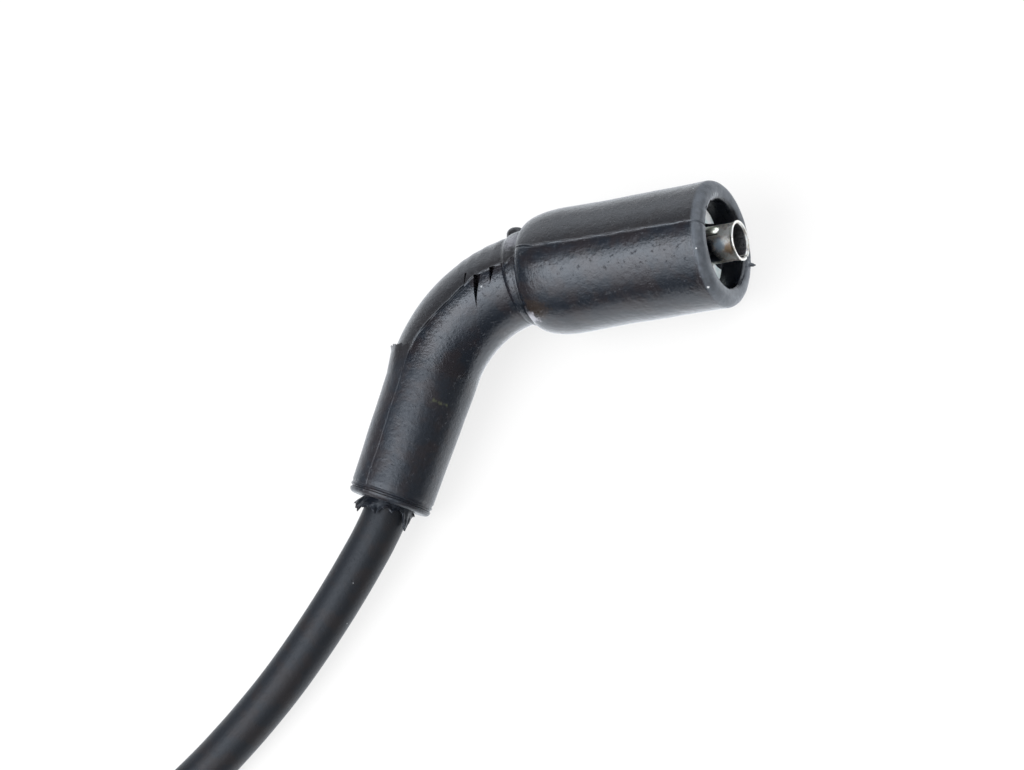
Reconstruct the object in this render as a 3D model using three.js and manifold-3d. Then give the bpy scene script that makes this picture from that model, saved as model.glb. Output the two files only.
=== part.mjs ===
// Spark plug lead: a moulded elbow boot with a tube terminal for the ignition coil,
// a length of ignition cable, and a straight boot with a push-fit terminal for the plug.
// It lies on its side, as it comes to rest. Lengths are in millimetres, angles in degrees.
// +Z points up, +X is the way the coil boot's mouth faces, and the lead stands on Z = 0.

import * as THREE from 'three';
import { mergeVertices } from 'three/addons/utils/BufferGeometryUtils.js';
import Module from 'manifold-3d';

const wasm = await Module();
wasm.setup();

// Facets of the round pieces
const rubberFacets = 56;
const elbowFacets = 36;
const metalFacets = 32;
const passageFacets = 24;
const cableFacets = 12;
const lockFacets = 16;
const springFacets = 8;
const shoulderSteps = 7;
const edgeSteps = 4;
const weldTolerance = 1e-4;

// Clearances
const rubberClearance = 0.3;
const crimpClearance = 0.3;
const springClearance = 0.2;
const cutMargin = 1;

// Cable
const cableDiameter = 8.2;
const coreDiameter = 2;
const cableInsertion = 6;
const cableGap = 0.3;
const cableSteps = 14;

// Coil boot: the sleeve round the cable
const sleeveLength = 25.8;
const sleeveEndRadius = 7.55;
const sleeveTopRadius = 8.1;
const sleeveFade = 3;
const sleeveRoot = 0.1;
const lipRadius = 8.9;
const lipLength = 5.5;
const lipReach = 1.2;
const lipSlant = 10;
const sleeveLipRound = 0.8;
const sleeveGrooveDepth = 0.25;
const sleeveGrooveWidth = 0.7;

// Coil boot: the elbow
const elbowRadius = 7.95;
const elbowBend = 67;
const elbowBendRadius = 23.35;
const elbowSteps = 16;
const elbowRoot = 6;
const passageSteps = 24;

// Coil boot: the barrel, measured along its axis from the end of the elbow
const barrelReach = 37.6;
const barrelMouthRadius = 11.3;
const barrelWaistRadius = 11.05;
const barrelWaistPlace = 17;
const barrelBackRadius = 11.45;
const shoulderLength = 7.6;
const shoulderFootRadius = 9.2;
const rimRound = 1.2;
const collarRadius = 8.95;
const collarWidth = 2.5;
const collarGroove = 0.3;
const collarRound = 0.5;
const socketRadius = 7.95;
const socketDepth = 4.8;
const socketChamfer = 0.35;
const throatRadius = 4.3;

// Coil boot: flex notches across the elbow, next to the barrel
const notchPlaces = [-5.7, -8.6, -10.8];
const notchLengths = [2.9, 6.3, 2.6];
const notchWidth = 1.25;
const notchDepth = 0.9;
const notchTop = 0.6;
const flexGrooveDepth = 0.3;
const flexGrooveInset = 0.15;

// Coil boot: moulding gate left beside the collar
const gateRadius = 1.7;
const gateHeight = 1.8;
const gatePlace = -3.8;

// Coil terminal, rolled from sheet
const sheetThickness = 0.43;
const tubeRadius = 3.38;
const tubeProud = 2.7;
const flareRadius = 3.6;
const flareLength = 1.4;
const crimpLength = 11;
const crimpStart = 6;
const neckLength = 3;
const seamWidth = 0.5;
const seamAngle = 130;
const lockAngles = [32, 212];
const lockSetback = 4;
const lockLength = 1.9;
const lockWidth = 1.9;
const lockHeight = 0.5;
const slitAngle = 14;
const slitLength = 3.8;
const slitWidth = 0.35;

// Plug boot, measured along its axis from the cable's end
const plugBootLength = 78;
const tailEndRadius = 7.2;
const tailTopRadius = 7.9;
const tailLength = 19;
const plugBodyRadius = 8.7;
const ringRadius = 9.5;
const gripRingWidth = 5;
const mouthRingWidth = 6;
const ringFillet = 0.8;
const plugBoreRadius = 5.8;
const plugBoreDepth = 26;
const plugBoreChamfer = 0.5;

// Plug terminal, rolled from sheet, and its spring
const plugCrimpStart = 28;
const plugSocketRadius = 3.2;
const plugSocketLength = 12.5;
const plugSlotWidth = 1;
const plugSlotLength = 8;
const plugSlotAngles = [120, 240];
const springWire = 0.8;
const springSetback = 4;
const springOpening = 3;

// How the lead lies
const coilBootExit = new THREE.Vector3(60.83, 14.21, 7.74);
const coilBootRoll = 5.6;
const plugBootEntry = new THREE.Vector3(-54.5, -54.4, ringRadius);
const plugBootHeading = 180;

// The cable's route, from inside the coil boot's sleeve to inside the plug boot's tail
const cableRoute = [
  [63.17, 19.71, 8.28],
  [60.83, 14.21, 7.74],
  [60.03, 12.38, 7.56],
  [57.5, 8.05, 7.1],
  [54.9, 4.3, 6.72],
  [51.3, -0.6, 6.24],
  [47.5, -5.4, 5.75],
  [43.2, -10.5, 5.28],
  [38.6, -15.6, 4.85],
  [33.6, -20.6, 4.5],
  [28.3, -25.5, 4.25],
  [21.2, -31.5, 4.12],
  [13.7, -36.9, 4.12],
  [5.8, -41.6, 4.2],
  [-2.5, -45.6, 4.5],
  [-11.2, -48.9, 5.1],
  [-20.2, -51.4, 6.2],
  [-29.3, -53.2, 7.6],
  [-38.5, -54.1, 8.8],
  [-46.5, -54.4, 9.4],
  [-54.5, -54.4, 9.5],
  [-60.5, -54.4, 9.5],
];

// Sizes that follow from the ones above
const cableRadius = cableDiameter / 2;
const passageRadius = cableRadius + rubberClearance;
const crimpInnerRadius = cableRadius + crimpClearance;
const crimpRadius = crimpInnerRadius + sheetThickness;
const chamberRadius = crimpRadius + rubberClearance;
const tubeInnerRadius = tubeRadius - sheetThickness;
const tubeEnd = barrelReach + tubeProud;
const crimpEnd = crimpStart + crimpLength;
const neckEnd = crimpEnd + neckLength;
const plugSocketOuter = plugSocketRadius + sheetThickness;
const plugCrimpEnd = plugCrimpStart + crimpLength;
const plugNeckEnd = plugCrimpEnd + neckLength;
const plugSocketEnd = plugNeckEnd + plugSocketLength;

const bend = THREE.MathUtils.degToRad(elbowBend);

// Materials
const rubber = () => new THREE.MeshStandardMaterial({ color: 0x2a2d31, roughness: 0.5, metalness: 0 });
const jacket = () => new THREE.MeshStandardMaterial({ color: 0x24272b, roughness: 0.42, metalness: 0 });
const steel = () => new THREE.MeshStandardMaterial({ color: 0xb9b8b2, roughness: 0.28, metalness: 1 });

// A cable's route inside a boot: straight, round one bend towards -Y, and straight again.
class BentPath extends THREE.Curve {
  constructor(start, lead, bendRadius, bendAngle, tail) {
    super();
    this.start = start;
    this.lead = lead;
    this.bendRadius = bendRadius;
    this.bendAngle = bendAngle;
    this.tail = tail;
  }

  getPoint(t, target = new THREE.Vector3()) {
    const arc = this.bendRadius * this.bendAngle;
    const travelled = t * (this.lead + arc + this.tail);
    if (travelled <= this.lead) return target.set(this.start + travelled, 0, 0);
    const turned = Math.min((travelled - this.lead) / this.bendRadius, this.bendAngle);
    const beyond = Math.max(travelled - this.lead - arc, 0);
    const x = this.start + this.lead + this.bendRadius * Math.sin(turned) + beyond * Math.cos(turned);
    const y = this.bendRadius * (Math.cos(turned) - 1) - beyond * Math.sin(turned);
    return target.set(x, y, 0);
  }
}

// Turns a closed geometry into a solid that can be cut and joined.
function solid(geometry) {
  const bare = geometry.clone();
  bare.deleteAttribute('normal');
  bare.deleteAttribute('uv');
  const welded = mergeVertices(bare, weldTolerance);
  const index = welded.index.array;
  const triangles = [];
  for (let i = 0; i < index.length; i += 3) {
    const [a, b, c] = [index[i], index[i + 1], index[i + 2]];
    if (a !== b && b !== c && c !== a) triangles.push(a, b, c);
  }
  const vertProperties = Float32Array.from(welded.attributes.position.array);
  const triVerts = Uint32Array.from(triangles);
  return new wasm.Manifold(new wasm.Mesh({ numProp: 3, vertProperties, triVerts }));
}

// Turns a solid back into a geometry.
function geometryOf(shape) {
  const mesh = shape.getMesh();
  const geometry = new THREE.BufferGeometry();
  geometry.setAttribute('position', new THREE.BufferAttribute(Float32Array.from(mesh.vertProperties), 3));
  geometry.setIndex(Array.from(mesh.triVerts));
  geometry.computeVertexNormals();
  return geometry;
}

function namedMesh(name, geometry, material) {
  const mesh = new THREE.Mesh(geometry, material);
  mesh.name = name;
  return mesh;
}

// Revolves an outline of (radius, place along the axis) round the X axis.
function revolve(outline, facets) {
  return new THREE.LatheGeometry(outline, facets).rotateZ(-Math.PI / 2);
}

function points(...pairs) {
  return pairs.map(([radius, place]) => new THREE.Vector2(radius, place));
}

// Points of a round edge between two directions, in degrees, about a centre.
function roundEdge(radius, place, size, from, to) {
  const edge = [];
  for (let i = 0; i <= edgeSteps; i += 1) {
    const angle = THREE.MathUtils.degToRad(from + (to - from) * (i / edgeSteps));
    edge.push([radius + size * Math.cos(angle), place + size * Math.sin(angle)]);
  }
  return edge;
}

function disc(radius) {
  return new THREE.Shape().absarc(0, 0, radius, 0, 2 * Math.PI, false);
}

// Sweeps a round section along a path.
function sweep(path, radius, facets, steps) {
  return new THREE.ExtrudeGeometry(disc(radius), { extrudePath: path, steps, curveSegments: facets / 2 });
}

// Moves a geometry from the barrel's own axis, X, to the far side of the elbow.
function ontoBarrel(geometry) {
  const place = new THREE.Matrix4().makeRotationZ(-bend);
  const x = sleeveLength + elbowBendRadius * Math.sin(bend);
  const y = elbowBendRadius * (Math.cos(bend) - 1);
  return geometry.applyMatrix4(place.setPosition(x, y, 0));
}

// A cut across a rolled tube's wall, at an angle from the top.
function wallCut(length, width, radius, angle, place) {
  const cut = new THREE.BoxGeometry(length, width, radius + cutMargin);
  cut.translate(place, 0, (radius + cutMargin) / 2);
  return cut.rotateX(-THREE.MathUtils.degToRad(angle));
}

// Coil boot

function sleeveOutline() {
  const lip = roundEdge(sleeveEndRadius - sleeveLipRound, sleeveLipRound, sleeveLipRound, -90, 0);
  const grooveEnd = sleeveLipRound + sleeveGrooveWidth;
  const grooveMiddle = sleeveLipRound + sleeveGrooveWidth / 2;
  return points(
    [0, 0],
    ...lip,
    [sleeveEndRadius - sleeveGrooveDepth, grooveMiddle],
    [sleeveEndRadius, grooveEnd],
    [sleeveTopRadius, sleeveLength - sleeveFade],
    [elbowRadius - sleeveRoot, sleeveLength + sleeveFade],
    [0, sleeveLength + sleeveFade],
  );
}

// The outer mould half's lip, which stands over the start of the elbow.
function sleeveLip() {
  const slant = THREE.MathUtils.degToRad(lipSlant);
  const end = sleeveLength + lipReach;
  const endOffset = end * Math.cos(slant) + lipRadius * Math.sin(slant);
  const outline = points(
    [0, end - lipLength],
    [sleeveTopRadius - sleeveRoot, end - lipLength],
    [lipRadius, end],
    [lipRadius, end + lipReach],
    [0, end + lipReach],
  );
  return solid(revolve(outline, rubberFacets))
    .trimByPlane([0, 1, 0], 0)
    .trimByPlane([-Math.cos(slant), -Math.sin(slant), 0], -endOffset);
}

function barrelOutline() {
  const collarBack = -collarWidth - collarGroove;
  const shoulder = [];
  for (let i = 0; i <= shoulderSteps; i += 1) {
    const angle = (i / shoulderSteps) * (Math.PI / 2);
    const rise = (barrelBackRadius - shoulderFootRadius) * Math.sin(angle);
    shoulder.push([shoulderFootRadius + rise, shoulderLength * (1 - Math.cos(angle))]);
  }
  return points(
    [0, collarBack],
    ...roundEdge(collarRadius - collarRound, collarBack + collarRound, collarRound, -90, 0),
    [collarRadius, -collarGroove * 2],
    [collarRadius - collarGroove, -collarGroove],
    ...shoulder,
    [barrelWaistRadius, barrelWaistPlace],
    ...roundEdge(barrelMouthRadius - rimRound, barrelReach - rimRound, rimRound, 0, 90),
    [0, barrelReach],
  );
}

function boreOutline() {
  return points(
    [0, crimpStart - rubberClearance],
    [chamberRadius, crimpStart - rubberClearance],
    [chamberRadius, neckEnd - rubberClearance],
    [throatRadius, neckEnd + (chamberRadius - throatRadius)],
    [throatRadius, barrelReach - socketDepth],
    [socketRadius, barrelReach - socketDepth],
    [socketRadius, barrelReach - socketChamfer],
    [socketRadius + socketChamfer, barrelReach],
    [socketRadius + socketChamfer, barrelReach + cutMargin],
    [0, barrelReach + cutMargin],
  );
}

function elbowSolid(radius) {
  const path = new BentPath(sleeveLength - elbowRoot, elbowRoot, elbowBendRadius, bend, elbowRoot);
  return solid(sweep(path, radius, elbowFacets, elbowSteps));
}

// One flex notch: a three-sided pocket in the inner half, closing away from the barrel's top,
// with a shallow groove that runs on from it over the outer half of the elbow.
function flexNotch(place, length) {
  const pocket = new THREE.Shape();
  pocket.moveTo(place, notchTop);
  pocket.lineTo(place, notchTop - length);
  pocket.lineTo(place + notchWidth, notchTop);
  const height = 2 * (elbowRadius + cutMargin);
  const outerHalf = elbowRadius + elbowBendRadius;
  const pockets = new THREE.ExtrudeGeometry(pocket, { depth: height, bevelEnabled: false });
  const groove = new THREE.BoxGeometry(notchWidth - 2 * flexGrooveInset, outerHalf, height);
  groove.translate(place + notchWidth / 2, notchTop + outerHalf / 2 - flexGrooveInset, 0);
  const floor = elbowSolid(elbowRadius - notchDepth);
  const grooveFloor = elbowSolid(elbowRadius - flexGrooveDepth);
  const deepCut = solid(ontoBarrel(pockets.translate(0, 0, -height / 2))).subtract(floor);
  return deepCut.add(solid(ontoBarrel(groove)).subtract(grooveFloor));
}

function coilBoot() {
  const sleeve = solid(revolve(sleeveOutline(), rubberFacets));
  const barrel = solid(ontoBarrel(revolve(barrelOutline(), rubberFacets)));
  let elbow = elbowSolid(elbowRadius);
  notchPlaces.forEach((place, i) => {
    elbow = elbow.subtract(flexNotch(place, notchLengths[i]));
  });
  const elbowOutside = Math.sqrt((elbowBendRadius + elbowRadius) ** 2 - gatePlace ** 2) - elbowBendRadius;
  const gateTop = elbowOutside + gateHeight;
  const gate = new THREE.CylinderGeometry(gateRadius, gateRadius, gateTop, metalFacets);
  gate.translate(gatePlace, gateTop / 2, 0);
  const passage = new BentPath(-cutMargin, sleeveLength + cutMargin, elbowBendRadius, bend, crimpStart);
  return sleeve
    .add(sleeveLip())
    .add(elbow)
    .add(barrel)
    .add(solid(ontoBarrel(gate)))
    .subtract(solid(sweep(passage, passageRadius, passageFacets, passageSteps)))
    .subtract(solid(ontoBarrel(revolve(boreOutline(), rubberFacets))));
}

// Coil terminal, along its own axis

function coilTerminal() {
  const outline = points(
    [crimpRadius, crimpStart],
    [crimpRadius, crimpEnd],
    [tubeRadius, neckEnd],
    [tubeRadius, tubeEnd - flareLength],
    [flareRadius, tubeEnd - sheetThickness],
    [flareRadius, tubeEnd - sheetThickness / 2],
    [flareRadius - sheetThickness / 2, tubeEnd],
    [flareRadius - sheetThickness, tubeEnd],
    [tubeInnerRadius, tubeEnd - flareLength],
    [tubeInnerRadius, neckEnd],
    [crimpInnerRadius, crimpEnd],
    [crimpInnerRadius, crimpStart],
    [crimpRadius, crimpStart],
  );
  const lock = (angle) => {
    const bump = new THREE.SphereGeometry(1, lockFacets, lockFacets / 2);
    bump.scale(lockLength / 2, lockWidth / 2, lockHeight);
    bump.translate(tubeEnd - lockSetback, 0, tubeRadius - sheetThickness / 4);
    bump.rotateX(-THREE.MathUtils.degToRad(angle));
    return solid(bump).subtract(solid(revolve(boreCore(), metalFacets)));
  };
  const fullLength = tubeEnd - crimpStart + 2 * cutMargin;
  const middle = (tubeEnd + crimpStart) / 2;
  const slitMiddle = tubeEnd - lockSetback + lockLength / 2 - slitLength / 2 + sheetThickness;
  const [upperLock, lowerLock] = lockAngles.map(lock);
  return solid(revolve(outline, metalFacets))
    .add(upperLock)
    .add(lowerLock)
    .subtract(solid(wallCut(fullLength, seamWidth, crimpRadius, seamAngle, middle)))
    .subtract(solid(wallCut(slitLength, slitWidth, tubeRadius, slitAngle, slitMiddle)));
}

function boreCore() {
  return points([0, neckEnd], [tubeInnerRadius, neckEnd], [tubeInnerRadius, tubeEnd], [0, tubeEnd]);
}

// Cable ends inside the boots

function cableCoilEnd() {
  const start = cableInsertion + cableGap;
  const path = new BentPath(start, sleeveLength - start, elbowBendRadius, bend, crimpEnd - crimpClearance);
  const core = new THREE.CylinderGeometry(coreDiameter / 2, coreDiameter / 2, 2 * neckLength, cableFacets);
  core.rotateZ(-Math.PI / 2).translate(crimpEnd - crimpClearance, 0, 0);
  return solid(sweep(path, cableRadius, cableFacets, elbowSteps)).add(solid(ontoBarrel(core)));
}

function cablePlugEnd() {
  const start = cableInsertion + cableGap;
  const end = plugCrimpEnd - crimpClearance;
  const outline = points(
    [0, start],
    [cableRadius, start],
    [cableRadius, end],
    [coreDiameter / 2, end],
    [coreDiameter / 2, end + neckLength],
    [0, end + neckLength],
  );
  return revolve(outline, cableFacets);
}

// Plug boot and its terminal, along their own axis

function plugBoot() {
  const ring = (from, to) => [
    [ringRadius - ringFillet, from],
    [ringRadius, from + ringFillet],
    [ringRadius, to - ringFillet],
    [ringRadius - ringFillet, to],
  ];
  const outer = points(
    [0, 0],
    ...roundEdge(tailEndRadius - sleeveLipRound, sleeveLipRound, sleeveLipRound, -90, 0),
    [tailTopRadius, tailLength],
    ...ring(tailLength, tailLength + gripRingWidth),
    [plugBodyRadius, tailLength + gripRingWidth],
    [plugBodyRadius, plugBootLength - mouthRingWidth],
    ...ring(plugBootLength - mouthRingWidth, plugBootLength),
    [0, plugBootLength],
  );
  const bore = points(
    [0, -cutMargin],
    [passageRadius, -cutMargin],
    [passageRadius, plugCrimpStart - rubberClearance],
    [chamberRadius, plugCrimpStart - rubberClearance],
    [chamberRadius, plugBootLength - plugBoreDepth],
    [plugBoreRadius, plugBootLength - plugBoreDepth],
    [plugBoreRadius, plugBootLength - plugBoreChamfer],
    [plugBoreRadius + plugBoreChamfer, plugBootLength],
    [plugBoreRadius + plugBoreChamfer, plugBootLength + cutMargin],
    [0, plugBootLength + cutMargin],
  );
  return solid(revolve(outer, rubberFacets)).subtract(solid(revolve(bore, elbowFacets)));
}

function plugTerminal() {
  const outline = points(
    [crimpRadius, plugCrimpStart],
    [crimpRadius, plugCrimpEnd],
    [plugSocketOuter, plugNeckEnd],
    [plugSocketOuter, plugSocketEnd],
    [plugSocketRadius, plugSocketEnd],
    [plugSocketRadius, plugNeckEnd],
    [crimpInnerRadius, plugCrimpEnd],
    [crimpInnerRadius, plugCrimpStart],
    [crimpRadius, plugCrimpStart],
  );
  const fullLength = plugSocketEnd - plugCrimpStart + 2 * cutMargin;
  const middle = (plugSocketEnd + plugCrimpStart) / 2;
  const slotMiddle = plugSocketEnd - plugSlotLength / 2 + cutMargin;
  const [firstSlot, secondSlot] = plugSlotAngles.map((angle) =>
    solid(wallCut(plugSlotLength, plugSlotWidth, plugSocketOuter, angle, slotMiddle)));
  return solid(revolve(outline, metalFacets))
    .subtract(solid(wallCut(fullLength, seamWidth, crimpRadius, 0, middle)))
    .subtract(firstSlot)
    .subtract(secondSlot);
}

function plugTerminalSpring() {
  const springRadius = plugSocketOuter + springClearance + springWire / 2;
  const place = plugSocketEnd - springSetback;
  const ring = new THREE.TorusGeometry(springRadius, springWire / 2, springFacets, metalFacets);
  ring.rotateY(Math.PI / 2).translate(place, 0, 0);
  const opening = wallCut(springWire + cutMargin, springOpening, springRadius + springWire, 0, place);
  return solid(ring).subtract(solid(opening));
}

// Free stretch of the cable

function freeCable() {
  const route = new THREE.CatmullRomCurve3(cableRoute.map((place) => new THREE.Vector3(...place)));
  return sweep(route, cableRadius, cableFacets, cableSteps);
}

// Assembly

const lead = new THREE.Group();

const coilEnd = new THREE.Group();
coilEnd.position.copy(coilBootExit);
coilEnd.rotation.set(
  THREE.MathUtils.degToRad(coilBootRoll),
  0,
  bend,
);
coilEnd.add(namedMesh('coil_boot', geometryOf(coilBoot()), rubber()));
coilEnd.add(namedMesh('coil_terminal', ontoBarrel(geometryOf(coilTerminal())), steel()));
coilEnd.add(namedMesh('cable_coil_end', geometryOf(cableCoilEnd()), jacket()));
lead.add(coilEnd);

const plugEnd = new THREE.Group();
plugEnd.position.copy(plugBootEntry);
plugEnd.rotation.z = THREE.MathUtils.degToRad(plugBootHeading);
plugEnd.add(namedMesh('plug_boot', geometryOf(plugBoot()), rubber()));
plugEnd.add(namedMesh('plug_terminal', geometryOf(plugTerminal()), steel()));
plugEnd.add(namedMesh('plug_terminal_spring', geometryOf(plugTerminalSpring()), steel()));
plugEnd.add(namedMesh('cable_plug_end', cablePlugEnd(), jacket()));
lead.add(plugEnd);

lead.add(namedMesh('cable', freeCable(), jacket()));

export default lead;
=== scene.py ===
# %% [markdown]
# A spark plug lead, dressed around its fixed frame.
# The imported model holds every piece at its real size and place. This script gives the pieces that
# show their fine surfaces: the moulded rubber boots, the rolled metal terminals and the cable.

# %% Load the frame
import math

import bmesh
import bpy
from mathutils import Matrix, Quaternion, Vector, noise


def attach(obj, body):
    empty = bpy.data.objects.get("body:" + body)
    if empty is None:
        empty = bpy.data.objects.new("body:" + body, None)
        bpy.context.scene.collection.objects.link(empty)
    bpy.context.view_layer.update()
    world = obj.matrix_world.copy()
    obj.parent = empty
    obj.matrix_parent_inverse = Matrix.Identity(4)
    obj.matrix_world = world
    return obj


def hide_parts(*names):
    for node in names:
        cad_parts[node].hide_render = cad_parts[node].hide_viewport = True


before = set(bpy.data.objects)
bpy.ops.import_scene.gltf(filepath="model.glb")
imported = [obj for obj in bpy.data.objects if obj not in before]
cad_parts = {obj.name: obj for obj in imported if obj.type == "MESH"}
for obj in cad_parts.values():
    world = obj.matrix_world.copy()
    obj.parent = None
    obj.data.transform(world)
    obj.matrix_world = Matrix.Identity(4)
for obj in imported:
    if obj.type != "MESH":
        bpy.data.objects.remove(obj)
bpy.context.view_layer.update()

# %% [markdown]
# The camera looks down on the lead from the side of the boot's mouth, through a long lens, and it is
# rolled, as the photograph is. A long lens far away keeps the barrel's two edges almost parallel.
# A track quaternion would hold the horizon level, so the roll is a second turn about the line of sight.

# %% Camera
camera_aim = Vector((0.08137, 0.0368, 0))
camera_distance = 0.7669
camera_azimuth = math.radians(-38.68)
camera_height_angle = math.radians(55.16)
camera_roll = math.radians(-55.19)
camera_lens = 147.66

line_of_sight = Vector((
    math.cos(camera_height_angle) * math.cos(camera_azimuth),
    math.cos(camera_height_angle) * math.sin(camera_azimuth),
    math.sin(camera_height_angle),
))
camera = bpy.data.objects.new("camera", bpy.data.cameras.new("camera"))
bpy.context.scene.collection.objects.link(camera)
camera.data.lens = camera_lens
camera.data.clip_start = 0.01
camera.location = camera_aim + line_of_sight * camera_distance
camera.rotation_mode = "QUATERNION"
camera.rotation_quaternion = line_of_sight.to_track_quat("Z", "Y") @ Quaternion((0, 0, 1), camera_roll)
bpy.context.scene.camera = camera
bpy.context.scene.view_settings.view_transform = "Standard"
print("camera stands at", tuple(round(value, 4) for value in camera.location))

# %% [markdown]
# The cable is one length of rubber jacket, so it is one smooth curve with a round bevel. Its points
# are the route that the frame holds. It leaves the sleeve in line with it, sinks onto the floor under
# its own weight, and rises a little into the straight boot at the far end. Every point carries the
# cable's radius, and the bevel is 1 deep, because a curve's box is drawn round its points' radii.

# %% Cable
cable_diameter = 0.0082
cable_route = [
    (0.06317, 0.01971, 0.00828),
    (0.06083, 0.01421, 0.00774),
    (0.06003, 0.01238, 0.00756),
    (0.0575, 0.00805, 0.0071),
    (0.0549, 0.0043, 0.00672),
    (0.0513, -0.0006, 0.00624),
    (0.0475, -0.0054, 0.00575),
    (0.0432, -0.0105, 0.00528),
    (0.0386, -0.0156, 0.00485),
    (0.0336, -0.0206, 0.0045),
    (0.0283, -0.0255, 0.00425),
    (0.0212, -0.0315, 0.00412),
    (0.0137, -0.0369, 0.00412),
    (0.0058, -0.0416, 0.0042),
    (-0.0025, -0.0456, 0.0045),
    (-0.0112, -0.0489, 0.0051),
    (-0.0202, -0.0514, 0.0062),
    (-0.0293, -0.0532, 0.0076),
    (-0.0385, -0.0541, 0.0088),
    (-0.0465, -0.0544, 0.0094),
    (-0.0545, -0.0544, 0.0095),
    (-0.0605, -0.0544, 0.0095),
]

cable_curve = bpy.data.curves.new("cable_jacket", "CURVE")
cable_curve.dimensions = "3D"
cable_curve.bevel_depth = 1
cable_curve.bevel_resolution = 14
cable_curve.resolution_u = 16
cable_curve.use_fill_caps = True
spline = cable_curve.splines.new("BEZIER")
spline.bezier_points.add(len(cable_route) - 1)
for knot, place in zip(spline.bezier_points, cable_route):
    knot.co = place
    knot.radius = cable_diameter / 2
    knot.handle_left_type = "AUTO"
    knot.handle_right_type = "AUTO"
cable = bpy.data.objects.new("cable_jacket", cable_curve)
bpy.context.scene.collection.objects.link(cable)
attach(cable, "root")
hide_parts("cable")
print("cable runs through", len(cable_route), "points")

# %% [markdown]
# Helpers for modelling by hand. An operator acts on all that is selected, so each piece starts with
# nothing selected. A single point is drawn as a plane merged to its centre, and extruded from place to
# place it becomes an outline, which spin turns round the X axis, as on a lathe.

# %% Modelling helpers
MM = 0.001
weld_distance = 0.002 * MM


def ripple(x, y, z):
    """A smooth noise, from -1 to 1, at a place."""
    return noise.noise(Vector((x, y, z)))


def on_ring(along, radius, turn):
    """A point of a ring round the X axis, at a turn from the top towards plus Y."""
    return Vector((along, radius * math.sin(turn), radius * math.cos(turn)))


def edit_all():
    """Goes to edit mode with everything selected."""
    bpy.ops.object.mode_set(mode="EDIT")
    bpy.ops.mesh.select_all(action="SELECT")


def start_piece(add, **settings):
    """Adds a primitive with nothing else selected, and returns it in edit mode."""
    bpy.ops.object.select_all(action="DESELECT")
    add(**settings)
    edit_all()
    return bpy.context.object


def lathe(name, outline, steps, closed=False, angle=2 * math.pi, start=0.0):
    """Spins an outline of (place along X, radius), in millimetres, round the X axis."""
    places = [Vector((x, 0, radius)) * MM for x, radius in outline]
    piece = start_piece(bpy.ops.mesh.primitive_plane_add, size=MM)
    piece.name = name
    bpy.ops.mesh.merge(type="CENTER")
    bpy.ops.transform.translate(value=places[0])
    for before, after in zip(places, places[1:]):
        bpy.ops.mesh.extrude_vertices_move(TRANSFORM_OT_translate={"value": after - before})
    bpy.ops.mesh.select_all(action="SELECT")
    if closed:
        ring = bmesh.from_edit_mesh(piece.data)
        ring.verts.ensure_lookup_table()
        ring.edges.new((ring.verts[-1], ring.verts[0]))
        bmesh.update_edit_mesh(piece.data)
        bpy.ops.mesh.select_all(action="SELECT")
    if start:
        bpy.ops.transform.rotate(value=start, orient_axis="X", center_override=(0, 0, 0))
    bpy.ops.mesh.spin(steps=steps, angle=angle, center=(0, 0, 0), axis=(1, 0, 0))
    bpy.ops.mesh.select_all(action="SELECT")
    bpy.ops.mesh.remove_doubles(threshold=weld_distance)
    close_piece()
    return piece


def apply_modifier(piece, kind, **settings):
    modifier = piece.modifiers.new(kind.lower(), kind)
    for setting, value in settings.items():
        setattr(modifier, setting, value)
    bpy.context.view_layer.objects.active = piece
    bpy.ops.object.modifier_apply(modifier=modifier.name)


def joined(pieces):
    """Makes one object of several, so that one boolean does for all."""
    bpy.ops.object.select_all(action="DESELECT")
    for piece in pieces:
        piece.select_set(True)
    bpy.context.view_layer.objects.active = pieces[0]
    bpy.ops.object.join()
    return pieces[0]


def close_piece():
    """Turns the normals of the piece in edit mode outwards, and leaves edit mode."""
    bpy.ops.mesh.select_all(action="SELECT")
    bpy.ops.mesh.normals_make_consistent(inside=False)
    bpy.ops.object.mode_set(mode="OBJECT")


def settle():
    """Leaves edit mode and puts the piece's place, turn and scale into its points."""
    bpy.ops.object.mode_set(mode="OBJECT")
    bpy.ops.object.transform_apply(location=True, rotation=True, scale=True)


def cut(piece, cutter, operation="DIFFERENCE"):
    """Joins or cuts with another closed piece, which is used up."""
    apply_modifier(piece, "BOOLEAN", object=cutter, operation=operation, solver="EXACT")
    bpy.data.objects.remove(cutter)


def finish_piece(piece, nodes=(), smooth_angle=35):
    """Smooths a piece, ties it to the body, and hides the nodes that it stands for."""
    bpy.ops.object.select_all(action="DESELECT")
    piece.select_set(True)
    bpy.context.view_layer.objects.active = piece
    bpy.ops.object.shade_smooth_by_angle(angle=math.radians(smooth_angle))
    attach(piece, "root")
    if nodes:
        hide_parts(*nodes)
    print(piece.name, "has", len(piece.data.polygons), "faces")


def spaced(outline, step):
    """Adds points to an outline so that none is further than a step from the next."""
    dense = [outline[0]]
    for (x0, r0), (x1, r1) in zip(outline, outline[1:]):
        count = max(1, math.ceil(math.hypot(x1 - x0, r1 - r0) / step))
        dense += [(x0 + (x1 - x0) * i / count, r0 + (r1 - r0) * i / count) for i in range(1, count + 1)]
    return dense


def flowing(knots, steps):
    """A smooth outline through knots, with a few points between each pair."""
    ends = [knots[0]] + knots + [knots[-1]]
    course = []
    for (_, r0), (x1, r1), (x2, r2), (_, r3) in zip(ends, ends[1:], ends[2:], ends[3:]):
        for i in range(steps):
            t = i / steps
            radius = r1 + (r2 - r1) * t * t * (3 - 2 * t)
            radius += (r2 - r0) / 2 * t * (1 - t) ** 2 - (r3 - r1) / 2 * t * t * (1 - t)
            course.append((x1 + (x2 - x1) * t, radius))
    return course + [knots[-1]]


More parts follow.
